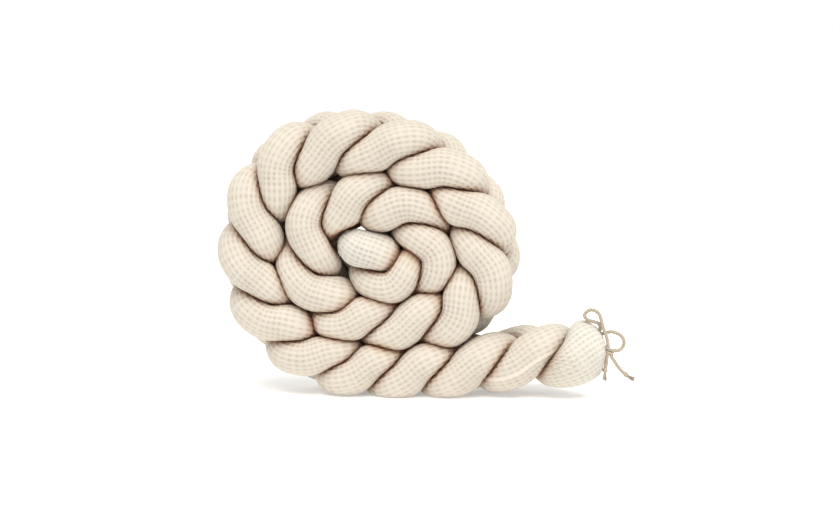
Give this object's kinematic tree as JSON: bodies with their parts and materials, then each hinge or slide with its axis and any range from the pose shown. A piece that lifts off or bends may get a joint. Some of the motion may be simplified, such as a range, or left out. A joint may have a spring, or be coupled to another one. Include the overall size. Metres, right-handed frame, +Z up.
{
  "type": "braided crib bumper",
  "caption": "Plaited crib bumper of stuffed waffle-cotton tubes, rolled up on its edge, with a cord tie at its outer end.",
  "frame": {"origin": "middle of the stuffed strands' footprint, on the surface that the roll stands on", "axes": "+X along the straight tail to the tied end, +Y through the plait's width away from the edge that shows, +Z up"},
  "size_m": [0.6322, 0.1528, 0.4346],
  "materials": {
    "waffle_cotton": "waffle-woven undyed cotton, soft and matte",
    "cotton_cord": "twisted cotton and linen cord, matte"
  },
  "bodies": {
    "root": {"strand_1": "waffle_cotton", "strand_2": "waffle_cotton", "strand_3": "waffle_cotton", "tie_eye_loop": "cotton_cord", "tie_side_loop": "cotton_cord", "tie_knot": "cotton_cord", "tie_short_end": "cotton_cord", "tie_long_end": "cotton_cord", "tie_short_tassel": "cotton_cord", "tie_long_tassel": "cotton_cord"}
  },
  "joints": []
}
